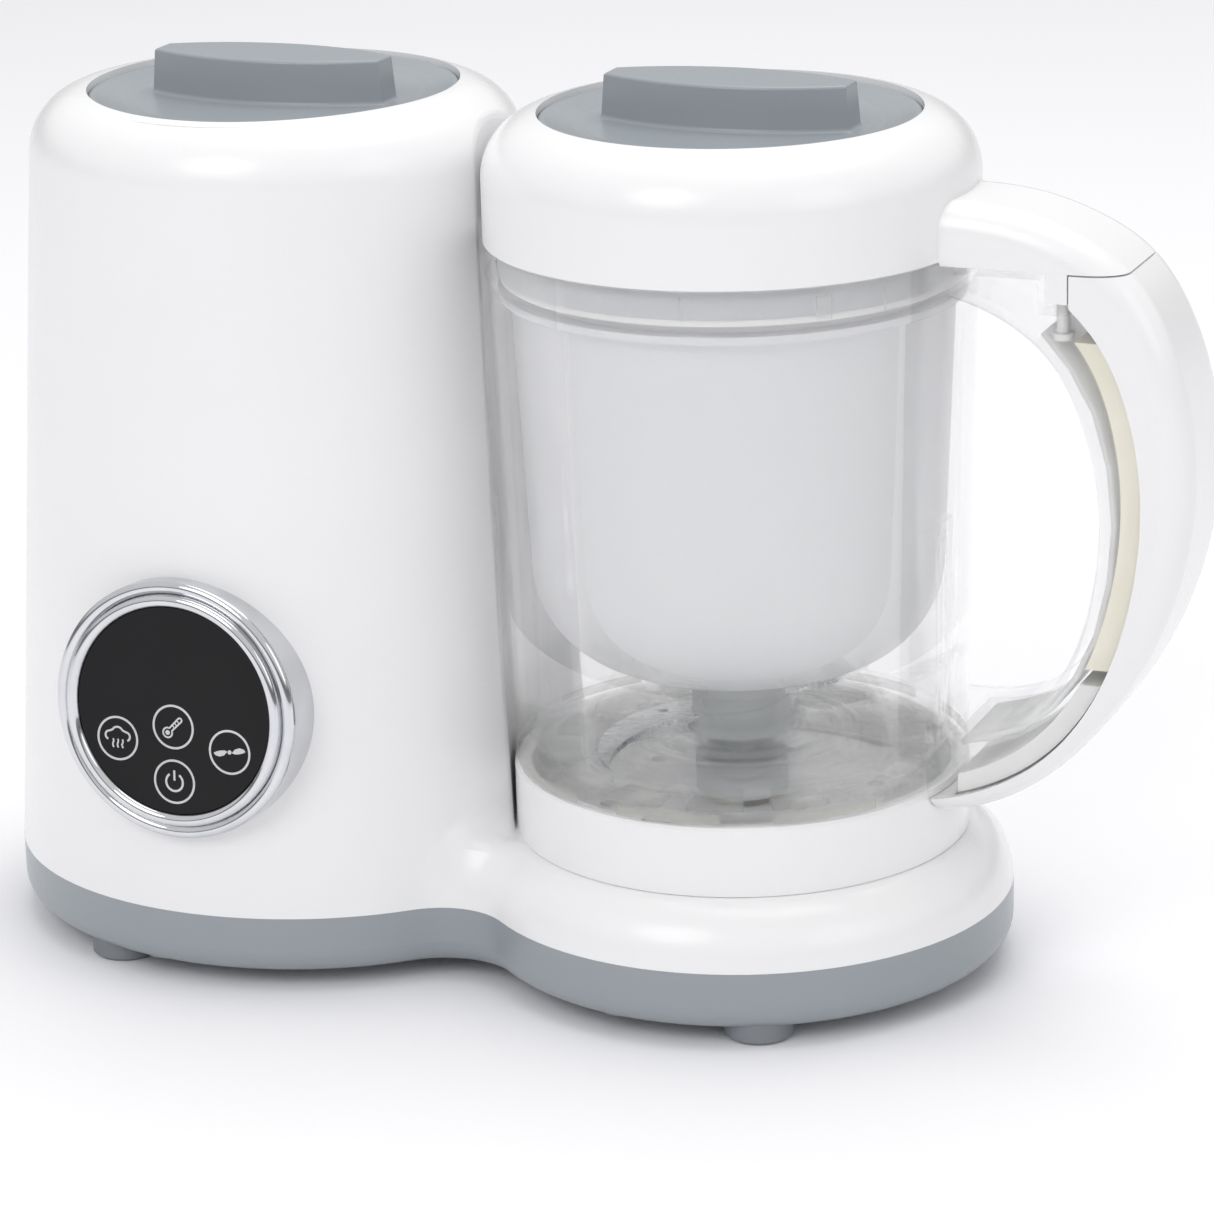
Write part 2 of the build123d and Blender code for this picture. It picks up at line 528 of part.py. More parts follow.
# ---------------------------------------------------------------- twist caps
def make_cap(cx):
    """Dished grey cap with a lens-shaped grip and three bayonet lugs."""
    with BuildPart() as p:
        add(turned(cx, [(0, 209.9), (CAP_R, 209.9), (CAP_R, CAP_RIM - 0.5),
                        (CAP_R - 0.5, CAP_RIM), (44.6, CAP_RIM), (41.0, 213.5),
                        (37.6, 212.7), (34.6, CAP_DISH), (0, CAP_DISH)]))
        with BuildSketch(Plane.XY.offset(CAP_DISH - 1)):
            with BuildLine():
                ThreePointArc((cx - 31.8, -4.2), (cx, -12.2), (cx + 31.8, -4.2))
                Line((cx + 31.8, -4.2), (cx + 31.8, 4.2))
                ThreePointArc((cx + 31.8, 4.2), (cx, 12.2), (cx - 31.8, 4.2))
                Line((cx - 31.8, 4.2), (cx - 31.8, -4.2))
            make_face()
        extrude(amount=KNOB_TOP - CAP_DISH + 1, taper=4)
        fillet(p.faces().sort_by(Axis.Z)[-1].edges(), 0.9)
        fillet([e for e in p.edges() if abs(e.center().Z - CAP_DISH) < 0.05
                and e.length < 80], 1.2)
        # hollow underside of the grip
        with BuildSketch(Plane.XY.offset(209.9)):
            with Locations((cx, 0)):
                Ellipse(24, 7.4)
        extrude(amount=KNOB_TOP - 209.9 - 2.6, taper=3, mode=Mode.SUBTRACT)
        add(tube(cx, 0, 38.6, 36.4, 199.8, 210.4))
        for a in (0, 120, 240):
            with Locations(Location((cx, 0, 199.8), (0, 0, a))):
                with Locations((39.6, 0, 0)):
                    Box(5.0, 11.0, 3.4, align=(Align.CENTER, Align.CENTER, Align.MIN))
        # pivot pin on a bridge under the grip
        add(tube(cx, 0, 4.0, 0, 204.6, KNOB_TOP - 2.0))
    return p.part


def make_seal(cx):
    """Seal plate that stays still while the cap above it turns."""
    with BuildPart() as p:
        add(turned(cx, [(0, 201.0), (36.0, 201.0), (36.0, 203.6), (7.0, 203.6), (7.0, 208.6),
                        (4.06, 208.6), (4.06, 204.4), (0, 204.4)]))
    return p.part


tank_cap, tank_cap_seal = make_cap(TX), make_seal(TX)
lid_cap, lid_cap_seal = make_cap(JX), make_seal(JX)

# ---------------------------------------------------------------- handle shapes
outer_curve = [(50, 199.4), (63, 199.2), (76, 197.6), (89, 193.4), (101, 186.2), (111, 172.5),
               (117.9, 150), (118.7, 128), (113, 102), (100, 77), (83, 58.6), (68, 50.0), (50, 48.2)]
inner_curve = [(50, 71.0), (63, 71.0), (76, 74.6), (87, 85), (94.5, 104), (96.8, 124),
               (93, 147), (84, 164), (71, 173.4), (50, 177.6)]

cover_joint = [(89.6, 176.6), (97.4, 167.5), (104.6, 150), (107.3, 128), (104.4, 104), (96, 81),
               (83, 64.4), (69, 55.6), (40, 50.6)]


def shifted(points, distance):
    """Open curve moved sideways, to the right of its own direction."""
    moved = []
    for i, (x, z) in enumerate(points):
        x0, z0 = points[max(i - 1, 0)]
        x1, z1 = points[min(i + 1, len(points) - 1)]
        along = Vector(x1 - x0, z1 - z0).normalized()
        moved.append((x + along.Y * distance, z - along.X * distance))
    return moved


# full loop of the handle including the lid spur
with BuildPart() as handle_loop:
    extrude(side_face(outer_curve, inner_curve), amount=HANDLE_W, both=True)
    fillet([e for e in handle_loop.edges() if e.length > 150 and (e @ 0.5).X - JX > 110], 7.0)
    fillet([e for e in handle_loop.edges()
            if e.length > 100 and 90 < (e @ 0.5).X - JX < 100], 2.0)


def outer_region():
    """Everything on the cover side of the joint between cover and clear channel."""
    with BuildPart() as p:
        with BuildSketch(Plane(origin=(JX, 0, 0), x_dir=(1, 0, 0), z_dir=(0, -1, 0))):
            with BuildLine():
                Line((89.6, 230), (89.6, 176.6))
                Spline(*cover_joint)
                Polyline(cover_joint[-1], (40, 30), (140, 30), (140, 230), (89.6, 230))
            make_face()
        extrude(amount=30, both=True)
    return p.part


notch = block(JX + 83.8, JX + 89.6, -HANDLE_W - 1, -8.5, 176.6, PARTING_Z + 1)
notch_block = block(JX + 81.6, JX + 91.8, -HANDLE_W + 0.5, -6.5, 174.2, PARTING_Z)
handle_full = handle_loop.part
with BuildPart() as handle_void:
    extrude(side_face(shifted(outer_curve, HANDLE_WALL), shifted(inner_curve, HANDLE_WALL)),
            amount=HANDLE_W - HANDLE_WALL, both=True)
    add(block(JX + 60.5, JX + 140, -30, 30, 30, 182.4), mode=Mode.INTERSECT)
    add(notch_block, mode=Mode.SUBTRACT)
handle_shell = handle_full - handle_void.part - notch
cover_side = outer_region()
pin_x, pin_y = JX + 86.7, -11.0
pin_hole = tube(pin_x, pin_y, 1.9, 0, 170, 178)

# the cover foot stands just clear of the seat collar and of the jar foot
with BuildPart() as handle_cover:
    add((handle_shell & cover_side) & block(JX, JX + 140, -30, 30, 30, PARTING_Z - 0.4))
    add(tube(JX, 0, COLLAR_R + 0.5, 0, 30, 62), mode=Mode.SUBTRACT)
    add(pin_hole, mode=Mode.SUBTRACT)

# ---------------------------------------------------------------- clear jar
jar_slope = (JAR_R1 - JAR_R0) / (JAR_Z1 - JAR_Z0)
with BuildPart() as jar:
    add((handle_shell - cover_side) & block(JX, JX + 140, -30, 30, 30, PARTING_Z - 0.4))
    add(tube(JX, 0, 57.0, 0, 30, 66), mode=Mode.SUBTRACT)
    add(cone(JX, JAR_R0 - 1.2, JAR_Z0, JAR_R1 - 1.2, JAR_Z1), mode=Mode.SUBTRACT)
    add(tube(JX, 0, 58.4, 0, 170, 190), mode=Mode.SUBTRACT)
    # the vessel itself
    add(turned(JX, [(0, FOOT_TOP), (51.6, FOOT_TOP), (51.6, JAR_Z0),
                    (JAR_R0 - 0.8, JAR_Z0), (JAR_R0, JAR_Z0 + 0.8),
                    (JAR_R1, JAR_Z1), (FLANGE_R, JAR_Z1 + 0.6), (FLANGE_R, JAR_TOP - 0.6),
                    (FLANGE_R - 0.6, JAR_TOP), (57.4, JAR_TOP), (57.4, LEDGE_Z),
                    (55.9, LEDGE_Z), (53.8, 62.0), (52.4, 59.4), (50.0, JAR_FLOOR),
                    (30.4, JAR_FLOOR), (30.0, 59.2), (28.6, 59.2), (28.2, JAR_FLOOR),
                    (25.0, JAR_FLOOR), (24.6, 59.8), (23.0, 59.8), (22.6, JAR_FLOOR),
                    (17.6, JAR_FLOOR), (17.2, 60.6), (15.2, 60.6), (14.8, JAR_FLOOR),
                    (9.0, JAR_FLOOR), (9.0, 60.4), (0, 60.4)]))
    # guide ribs with a shallow groove, towards handle and tower
    for side in (-1, 1):
        rib = block(JX - 56, JX - 52.6, -4.2, 4.2, JAR_FLOOR - 0.5, 118)
        rib -= block(JX - 53.4, JX - 52, -2.6, 2.6, JAR_FLOOR + 2, 114)
        add(rib if side < 0 else rib.rotate(Axis((JX, 0, 0), (0, 0, 1)), 180))
    # bore for the blade bush, guide hole for the interlock pin
    add(tube(JX, 0, 5.2, 0, 50, 64), mode=Mode.SUBTRACT)
    add(pin_hole, mode=Mode.SUBTRACT)


# foot ring with two keys that drop into the collar slots
with BuildPart() as jar_foot:
    add(tube(JX, 0, 51.6, 48.6, SEAT_FLOOR, FOOT_TOP))
    for side in (-1, 1):
        add(block(JX - 4.8, JX + 4.8, side * 52.6 - 1.8, side * 52.6 + 1.8,
                  COLLAR_TOP - 6.4, JAR_Z0))


def joint_strip(near, far, x0, z0, z1):
    """Piece inside the clear channel, along the cover joint, clear of the side walls."""
    width = HANDLE_W - HANDLE_WALL - 0.4
    with BuildPart() as p:
        extrude(side_face(shifted(cover_joint, near), shifted(cover_joint, far)[::-1]),
                amount=width, both=True)
        add(block(JX + x0, JX + 130, -30, 30, z0, z1), mode=Mode.INTERSECT)
    return p.part


interlock_strip = joint_strip(0.4, 5.6, 60, 88, 168)
interlock_foot = joint_strip(0.4, 5.0, 61.5, 48, 84)

with BuildPart() as interlock_pin:
    add(tube(pin_x, pin_y, 1.6, 0, 168.0, 177.3))
    add(tube(pin_x, pin_y, 2.7, 0, 168.0, 169.6))

# ---------------------------------------------------------------- blades and hub
BLADE_T = 1.4
blade_outer = [(-4.6, 3.4), (-15.5, -1.5), (-25.0, -14.5), (-25.8, -30), (-17.5, -44.5)]
blade_inner = [(-17.5, -44.5), (-19.8, -32), (-17.5, -21), (-11.5, -13), (-4.6, -8.0)]


def make_blade(z, turn, tilt):
    """Sickle blade, hollow ground on its inner edge."""
    with BuildPart() as p:
        with BuildSketch(Plane.XY):
            with BuildLine():
                Spline(*blade_outer)
                Spline(*blade_inner)
                Line(blade_inner[-1], blade_outer[0])
            make_face()
            with Locations((-17.6, -8.6)):
                Circle(1.2, mode=Mode.SUBTRACT)
        extrude(amount=BLADE_T)
    tilted = p.part.rotate(Axis((0, 0, 0), (1, -0.35, 0)), tilt)
    return tilted.rotate(Axis.Z, turn).moved(at(JX, 0, z))


blade_lower = make_blade(63.4, 0, 4.0)
blade_upper = make_blade(68.6, 180, -4.0)

with BuildPart() as blade_hub:
    add(turned(JX, [(3.0, 61.8), (9.9, 61.8), (9.9, 59.4), (13.4, 59.4), (13.4, 61.2),
                    (12.2, 62.2), (12.0, 73.6), (11.0, 74.6), (0, 74.6), (0, 72.0),
                    (3.0, 72.0)]))
    add(blade_lower, mode=Mode.SUBTRACT)
    add(blade_upper, mode=Mode.SUBTRACT)

blade_shaft = tube(JX, 0, 3.0, 0, 50.6, 72.0)
blade_bush = tube(JX, 0, 5.2, 3.0 + FIT, 53.8, 60.9)

with BuildPart() as jar_coupling:
    add(turned(JX, [(3.0, 50.6), (8.6, 50.6), (8.6, 43.0), (11.5, 43.0), (11.5, 52.6),
                    (3.0, 52.6)]))
    for a in range(30, 360, 60):
        with Locations(Location((JX, 0, 43.0), (0, 0, a))):
            with Locations((8.0, 0, 0)):
                Box(2.2, 2.6, 8.0, align=(Align.CENTER, Align.CENTER, Align.MIN))

# ---------------------------------------------------------------- steam basket
def basket_section(skin, r_top, r_low, z_low, z_bottom):
    """Wall line (r, z) of the basket moved in by a skin thickness."""
    radius = z_low - z_bottom
    with BuildLine() as line:
        Line((r_top - skin, LEDGE_Z + 1.8), (r_low - skin, z_low))
        ThreePointArc((r_low - skin, z_low),
                      (r_low - radius + (radius - skin) * sin(pi / 4),
                       z_low - (radius - skin) * cos(pi / 4)),
                      (r_low - radius, z_bottom + skin))
        Line((r_low - radius, z_bottom + skin), (0, z_bottom + skin))
        Line((0, z_bottom + skin), (0, LEDGE_Z + 1.8))
        Line((0, LEDGE_Z + 1.8), (r_top - skin, LEDGE_Z + 1.8))
    return line.line


def basket_solid(skin):
    with BuildPart() as p:
        with BuildSketch(Plane(origin=(JX, 0, 0), x_dir=(1, 0, 0), z_dir=(0, -1, 0))):
            add(basket_section(skin, 54.2, 51.0, 104.2, 78.2))
            make_face()
        revolve(axis=Axis((JX, 0, 0), (0, 0, 1)), revolution_arc=360)
    return p.part


with BuildPart() as steam_basket:
    add(basket_solid(0))
    add(tube(JX, 0, 57.0, 0, LEDGE_Z, LEDGE_Z + 1.8))
    add(basket_solid(1.8), mode=Mode.SUBTRACT)
    add(tube(JX, 0, 52.4, 0, LEDGE_Z, LEDGE_Z + 3), mode=Mode.SUBTRACT)
    for radius, count in ((9, 6), (17, 11), (25, 16)):
        for i in range(count):
            x, y = polar(radius, 360 * i / count)
            add(tube(JX + x, y, 1.5, 0, 76, 82), mode=Mode.SUBTRACT)

# ---------------------------------------------------------------- lid
crown_r = LID_R - LID_CROWN
crown_z = TOP_Z - LID_CROWN


def crown_height(r, radius):
    return crown_z + sqrt(radius ** 2 - (r - crown_r) ** 2)


mouth_r, mouth_wall = CAP_R + 0.4, 2.4
skin = 2.2
with BuildPart() as spur_hollow:
    with BuildSketch(Plane(origin=(JX, 0, 0), x_dir=(1, 0, 0), z_dir=(0, -1, 0))):
        with BuildLine():
            Polyline((62.4, 180), (62.4, 196.6), (69, 196.0), (75.6, 194.9), (82, 193.2),
                     (87.9, 190.8), (93.4, 187.8), (98.4, 184.0), (98.4, 180), close=True)
        make_face()
    extrude(amount=HANDLE_W - HANDLE_WALL, both=True)
with BuildPart() as lid_shell:
    with BuildSketch(Plane(origin=(JX, 0, 0), x_dir=(1, 0, 0), z_dir=(0, -1, 0))):
        with BuildLine():
            top_z = crown_height(mouth_r, LID_CROWN)
            low_z = crown_height(mouth_r + mouth_wall, LID_CROWN - skin)
            mid, deep = LID_CROWN * sin(pi / 4), (LID_CROWN - skin) * sin(pi / 4)
            Line((LID_R, LID_Z), (LID_R, crown_z))
            ThreePointArc((LID_R, crown_z), (crown_r + mid, crown_z + mid), (mouth_r, top_z))
            Polyline((mouth_r, top_z), (mouth_r, NECK_Z1), (mouth_r + mouth_wall, NECK_Z1),
                     (mouth_r + mouth_wall, low_z))
            ThreePointArc((mouth_r + mouth_wall, low_z), (crown_r + deep, crown_z + deep),
                          (LID_R - skin, crown_z))
            Polyline((LID_R - skin, crown_z), (LID_R - skin, LID_Z), (LID_R, LID_Z))
        make_face()
    revolve(axis=Axis((JX, 0, 0), (0, 0, 1)), revolution_arc=360)
    spur = handle_full & block(JX, JX + 140, -30, 30, PARTING_Z, 230)
    spur -= tube(JX, 0, LID_R - 1.0, 0, 160, 230)
    spur -= tube(JX, 0, FLANGE_R + 0.4, 0, 160, LID_Z)
    spur -= spur_hollow.part
    add(spur)
    add(block(JX + 84.2, JX + 89.2, -HANDLE_W + 0.1, -9.2, 177.6, PARTING_Z + 3))
    add(across(0, PORT_Z, 5.6, 0, JX - 64, JX - 52), mode=Mode.SUBTRACT)

with BuildPart() as lid_inner:
    add(turned(JX, [(NECK_R, NECK_Z0), (NECK_R, NECK_Z1), (mouth_r + mouth_wall, NECK_Z1),
                    (mouth_r + mouth_wall, 202.4), (57.4, 202.4), (57.4, 200.2),
                    (56.4, 200.2), (56.4, 176.2), (54.8, 176.2), (54.8, 200.4),
                    (47.4, 200.4), (47.4, NECK_Z0)]))
    for a in (0, 120, 240):
        with Locations(Location((JX, 0, NECK_Z0 - 1), (0, 0, a))):
            with Locations((41.0, 0, 0)):
                Box(5.0, 13.0, 8.0, align=(Align.CENTER, Align.CENTER, Align.MIN),
                    mode=Mode.SUBTRACT)
    add(across(0, PORT_Z, 5.6, 0, JX - 64, JX - 50), mode=Mode.SUBTRACT)

lid_gasket = turned(JX, [(56.4, 178.0), (57.0, 178.0), (57.0, JAR_TOP), (59.4, JAR_TOP),
                         (59.4, LID_Z), (56.4, LID_Z)])
lid_port = across(0, PORT_Z, 5.6, 3.0, JX - 60.2, JX - 53.6)

# ---------------------------------------------------------------- one file per node
NODES = [
    "upper_housing", "base_pan", "feet", "base_screws", "cord_inlet", "seat_collar",
    "collar_screws", "bearing_lower", "bearing_upper", "drive_spindle", "driven_pulley",
    "drive_coupling", "motor_plate", "motor_screws", "motor_can", "motor_magnets",
    "motor_rotor", "motor_pulley", "drive_belt", "micro_switch", "switch_pin",
    "control_bezel", "touch_glass", "display_board", "power_board", "power_parts",
    "board_posts", "water_tank", "tank_gasket", "boiler_plate", "heating_element",
    "thermostat", "water_sensor", "steam_tube", "steam_nozzle", "tank_cap",
    "tank_cap_seal", "lid_cap", "lid_cap_seal", "handle_cover", "jar", "jar_foot",
    "interlock_strip", "interlock_foot", "interlock_pin", "blade_lower", "blade_upper", "blade_hub",
    "blade_shaft", "blade_bush", "jar_coupling", "steam_basket", "lid_shell", "lid_inner",
    "lid_gasket", "lid_port",
]
for name in NODES:
    shape = globals()[name]
    save(getattr(shape, "part", shape), name)
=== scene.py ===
"""Baby food maker: materials, fine pieces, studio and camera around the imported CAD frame.

Metres, Z up, floor at Z = 0. Section, outline and grain sizes are in millimetres, and MM turns
them into metres.
"""
from math import cos, pi, radians, sin, sqrt

import bmesh
import bpy
from mathutils import Matrix, Vector


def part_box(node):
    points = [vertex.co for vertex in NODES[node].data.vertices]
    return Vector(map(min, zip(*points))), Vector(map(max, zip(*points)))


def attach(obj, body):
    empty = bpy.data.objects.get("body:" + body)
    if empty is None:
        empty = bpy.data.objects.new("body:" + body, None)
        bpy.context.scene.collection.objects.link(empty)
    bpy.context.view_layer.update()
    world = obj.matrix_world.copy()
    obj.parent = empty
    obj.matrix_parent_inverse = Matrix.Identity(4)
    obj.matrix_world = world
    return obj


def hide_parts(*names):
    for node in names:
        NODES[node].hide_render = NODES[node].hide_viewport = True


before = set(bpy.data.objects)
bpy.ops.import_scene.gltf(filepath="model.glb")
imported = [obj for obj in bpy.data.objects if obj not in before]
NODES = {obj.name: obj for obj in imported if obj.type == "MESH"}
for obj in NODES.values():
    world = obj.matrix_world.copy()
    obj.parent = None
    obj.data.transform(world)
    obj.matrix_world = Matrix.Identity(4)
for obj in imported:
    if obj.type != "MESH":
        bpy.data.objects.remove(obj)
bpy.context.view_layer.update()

MM = 0.001


def box_centre(node):
    low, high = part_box(node)
    return (low + high) / 2


JAR_X = box_centre("drive_spindle").x


# ---------------------------------------------------------------- material helpers
NOISE_DETAIL = 3.0
NOISE_LOW, NOISE_HIGH = 0.35, 0.65


def new_material(name, colour, roughness, metallic=0.0, **sockets):
    """Principled material; further sockets are given with underscores for spaces."""
    material = bpy.data.materials.new(name)
    material.use_nodes = True
    shader = material.node_tree.nodes["Principled BSDF"]
    shader.inputs["Base Color"].default_value = (*colour, 1)
    shader.inputs["Roughness"].default_value = roughness
    shader.inputs["Metallic"].default_value = metallic
    for key, value in sockets.items():
        shader.inputs[key.replace("_", " ")].default_value = value
    return material


def add_node(material, kind, **inputs):
    node = material.node_tree.nodes.new(kind)
    for key, value in inputs.items():
        node.inputs[key].default_value = value
    return node


def noise_over(material, scale, stretch):
    """Noise in object space, stretched along an axis where asked."""
    link = material.node_tree.links.new
    where = add_node(material, "ShaderNodeTexCoord")
    place = add_node(material, "ShaderNodeMapping", Scale=stretch)
    noise = add_node(material, "ShaderNodeTexNoise", Scale=scale, Detail=NOISE_DETAIL)
    link(where.outputs["Object"], place.inputs["Vector"])
    link(place.outputs["Vector"], noise.inputs["Vector"])
    return noise.outputs["Fac"]


def vary_roughness(material, low, high, scale, stretch=(1, 1, 1)):
    link = material.node_tree.links.new
    shader = material.node_tree.nodes["Principled BSDF"]
    spread = add_node(material, "ShaderNodeMapRange")
    spread.inputs["From Min"].default_value = NOISE_LOW
    spread.inputs["From Max"].default_value = NOISE_HIGH
    spread.inputs["To Min"].default_value = low
    spread.inputs["To Max"].default_value = high
    link(noise_over(material, scale, stretch), spread.inputs["Value"])
    link(spread.outputs["Result"], shader.inputs["Roughness"])


def vary_colour(material, first, second, scale, stretch=(1, 1, 1)):
    link = material.node_tree.links.new
    shader = material.node_tree.nodes["Principled BSDF"]
    ramp = add_node(material, "ShaderNodeValToRGB")
    for element, position, colour in zip(ramp.color_ramp.elements, (NOISE_LOW, NOISE_HIGH),
                                         (first, second)):
        element.position = position
        element.color = (*colour, 1)
    link(noise_over(material, scale, stretch), ramp.inputs["Fac"])
    link(ramp.outputs["Color"], shader.inputs["Base Color"])


def add_bump(material, scale, distance, strength=0.3, stretch=(1, 1, 1)):
    """Surface grain; distance in millimetres."""
    link = material.node_tree.links.new
    shader = material.node_tree.nodes["Principled BSDF"]
    bump = add_node(material, "ShaderNodeBump", Strength=strength, Distance=distance * MM)
    link(noise_over(material, scale, stretch), bump.inputs["Height"])
    link(bump.outputs["Normal"], shader.inputs["Normal"])


def gloss_plastic(name, colour, other, low, high, grain=0.02):
    """Moulded ABS: faint colour drift, uneven gloss and a fine orange peel."""
    material = new_material(name, colour, (low + high) / 2, Coat_Weight=0.12,
                            Coat_Roughness=0.12)
    vary_colour(material, colour, other, 14)
    vary_roughness(material, low, high, 800)
    add_bump(material, 1300, grain, 0.2)
    return material


def clear_plastic(name, colour, low, high, transmission=1.0, ior=1.52, alpha=1.0):
    """See-through moulding; an alpha below 1 lets light fall straight through the walls."""
    material = new_material(name, colour, low, Transmission_Weight=transmission, IOR=ior,
                            Alpha=alpha)
    vary_roughness(material, low, high, 900)
    add_bump(material, 55, 0.02, 0.06)
    return material


def metal(name, colour, other, low, high, stretch=(1, 1, 1), grain=0.01, scale=700):
    """Bare metal; a stretch draws the grain out into brushing marks."""
    material = new_material(name, colour, (low + high) / 2, metallic=1.0)
    vary_colour(material, colour, other, scale / 8, stretch)
    vary_roughness(material, low, high, scale / 4, stretch)
    add_bump(material, scale, grain, 0.3, stretch)
    return material


def matt_plastic(name, colour, other, low=0.42, high=0.58, grain=0.05):
    """Dull moulding, rubber or print with a sandy grain."""
    material = new_material(name, colour, (low + high) / 2)
    vary_colour(material, colour, other, 40)
    vary_roughness(material, low, high, 120)
    add_bump(material, 1400, grain, 0.35)
    return material


def polished_glass(name, colour, other):
    material = new_material(name, colour, 0.05, Specular_IOR_Level=0.22)
    vary_roughness(material, 0.03, 0.07, 30)
    vary_colour(material, colour, other, 20)
    return material


# ---------------------------------------------------------------- materials
WHITE = gloss_plastic("white_abs", (0.86, 0.86, 0.865), (0.875, 0.875, 0.878), 0.22, 0.26)
GREY = gloss_plastic("grey_abs", (0.300, 0.330, 0.352), (0.307, 0.337, 0.359), 0.29, 0.33, 0.03)
INNER_WHITE = matt_plastic("inner_white", (0.80, 0.80, 0.80), (0.84, 0.84, 0.83))
LINK_WHITE = gloss_plastic("link_white", (0.83, 0.83, 0.82), (0.86, 0.86, 0.85), 0.30, 0.38)
CREAM = matt_plastic("cream_link", (0.86, 0.83, 0.70), (0.90, 0.87, 0.75), 0.34, 0.46)
BLACK = matt_plastic("black_moulding", (0.018, 0.018, 0.020), (0.030, 0.030, 0.032))
RUBBER = matt_plastic("dark_rubber", (0.055, 0.058, 0.062), (0.085, 0.088, 0.092), 0.6, 0.8, 0.12)
CHROME = metal("chrome", (0.66, 0.67, 0.69), (0.71, 0.715, 0.73), 0.035, 0.075, grain=0.002)
BLADE = metal("ground_steel", (0.70, 0.715, 0.73), (0.80, 0.81, 0.82), 0.20, 0.32, (1, 9, 9),
              0.008, 700)
STEEL = metal("plain_steel", (0.46, 0.47, 0.49), (0.58, 0.58, 0.60), 0.28, 0.42, (12, 12, 1))
BRONZE = metal("bronze", (0.52, 0.34, 0.17), (0.66, 0.46, 0.26), 0.34, 0.5, grain=0.05)
CASTING = metal("cast_aluminium", (0.62, 0.63, 0.65), (0.74, 0.75, 0.76), 0.36, 0.5, grain=0.08)
MOTOR = metal("plated_can", (0.34, 0.35, 0.38), (0.46, 0.47, 0.49), 0.3, 0.42, (1, 1, 9))
CLEAR = clear_plastic("clear_jar", (0.985, 0.988, 0.980), 0.010, 0.030, ior=1.30, alpha=0.22)
FROST = clear_plastic("frosted_basket", (0.965, 0.970, 0.985), 0.30, 0.34, 0.15, 1.15, 0.60)
HUB = matt_plastic("grey_hub", (0.52, 0.545, 0.55), (0.57, 0.59, 0.60), 0.28, 0.38)
SILICONE = clear_plastic("silicone", (0.86, 0.87, 0.885), 0.36, 0.42, 0.4, 1.42)
CIRCUIT = matt_plastic("circuit_board", (0.012, 0.12, 0.045), (0.02, 0.17, 0.07), 0.3, 0.45)
SYMBOL = matt_plastic("symbol_print", (0.56, 0.57, 0.58), (0.64, 0.65, 0.66), 0.4, 0.5, 0.01)
# Painted shade: the rim lugs are the jar's own clear plastic, tinted darker to stand in for the
# shade seen through the thick rim.
PAINTED_RIM_SHADE = clear_plastic("rim_painted_shade", (0.66, 0.66, 0.60), 0.05, 0.09, 0.5, 1.3, 0.35)
LINER = clear_plastic("grip_liner", (0.90, 0.905, 0.895), 0.30, 0.36, 0.10, 1.15, 0.60)
FOOT = matt_plastic("grey_rubber", (0.20, 0.215, 0.23), (0.23, 0.245, 0.26), 0.6, 0.75, 0.08)
GLASS = polished_glass("black_glass", (0.004, 0.004, 0.005), (0.006, 0.006, 0.007))

MATERIAL_OF = {
    WHITE: ["upper_housing", "seat_collar", "handle_cover", "lid_shell"],
    GREY: ["base_pan", "tank_cap", "lid_cap"],
    INNER_WHITE: ["switch_pin", "board_posts", "water_tank", "interlock_pin", "lid_inner"],
    LINK_WHITE: ["interlock_foot"],
    CREAM: ["interlock_strip"],
    BLACK: ["cord_inlet", "driven_pulley", "drive_coupling", "motor_magnets", "micro_switch",
            "power_parts"],
    RUBBER: ["drive_belt"],
    FOOT: ["feet"],
    CHROME: ["control_bezel"],
    BLADE: ["blade_lower", "blade_upper"],
    STEEL: ["base_screws", "collar_screws", "drive_spindle", "motor_plate", "motor_screws",
            "motor_rotor", "heating_element", "thermostat", "water_sensor", "blade_shaft",
            "blade_bush"],
    BRONZE: ["bearing_lower", "bearing_upper"],
    CASTING: ["motor_pulley", "boiler_plate"],
    MOTOR: ["motor_can"],
    CLEAR: ["jar", "jar_foot"],
    FROST: ["steam_basket"],
    HUB: ["blade_hub", "jar_coupling"],
    SILICONE: ["tank_gasket", "steam_tube", "steam_nozzle", "tank_cap_seal", "lid_cap_seal",
               "lid_gasket", "lid_port"],
    CIRCUIT: ["display_board", "power_board"],
    GLASS: ["touch_glass"],
}
for node_material, node_names in MATERIAL_OF.items():
    for node_name in node_names:
        node_mesh = NODES[node_name].data
        node_mesh.materials.clear()
        node_mesh.materials.append(node_material)


# ---------------------------------------------------------------- mesh helpers
def make_piece(name, bm, material, body, stands_for=(), smooth=True):
    """Mesh object that moves with a body of the frame."""
    mesh = bpy.data.meshes.new(name)
    bm.normal_update()
    bm.to_mesh(mesh)
    bm.free()
    piece = bpy.data.objects.new(name, mesh)
    bpy.context.scene.collection.objects.link(piece)
    mesh.materials.append(material)
    if smooth:
        mesh.shade_smooth()
    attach(piece, body)
    if stands_for:
        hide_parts(*stands_for)
    return piece


def skin(bm, rows, closed=False):
    """Faces between rows of vertices that each run once round a section."""
    faces = []
    for here, there in zip(rows, rows[1:] + rows[:1] if closed else rows[1:]):
        for j in range(len(here)):
            faces.append(bm.faces.new((here[j - 1], there[j - 1], there[j], here[j])))
    if not closed:
        faces += [bm.faces.new(rows[0]), bm.faces.new(rows[-1][::-1])]
    bmesh.ops.recalc_face_normals(bm, faces=faces)


def revolve(section, place, segments):
    """Closed ring from a closed section of (radius, height)."""
    bm = bmesh.new()
    rows = []
    for i in range(segments):
        angle = 2 * pi * i / segments
        rows.append([bm.verts.new(place @ (Vector((r * cos(angle), r * sin(angle), h)) * MM))
                     for r, h in section])
    skin(bm, rows, closed=True)
    return bm


def arc_points(cx, cy, radius, start, end, steps):
    """Points on an arc; angles in degrees."""
    points = []
    for i in range(steps + 1):
        a = radians(start + (end - start) * i / steps)
        points.append((cx + radius * cos(a), cy + radius * sin(a)))
    return points


def disc_points(cx, cy, radius, steps):
    return arc_points(cx, cy, radius, 0, 360, steps)[:-1]


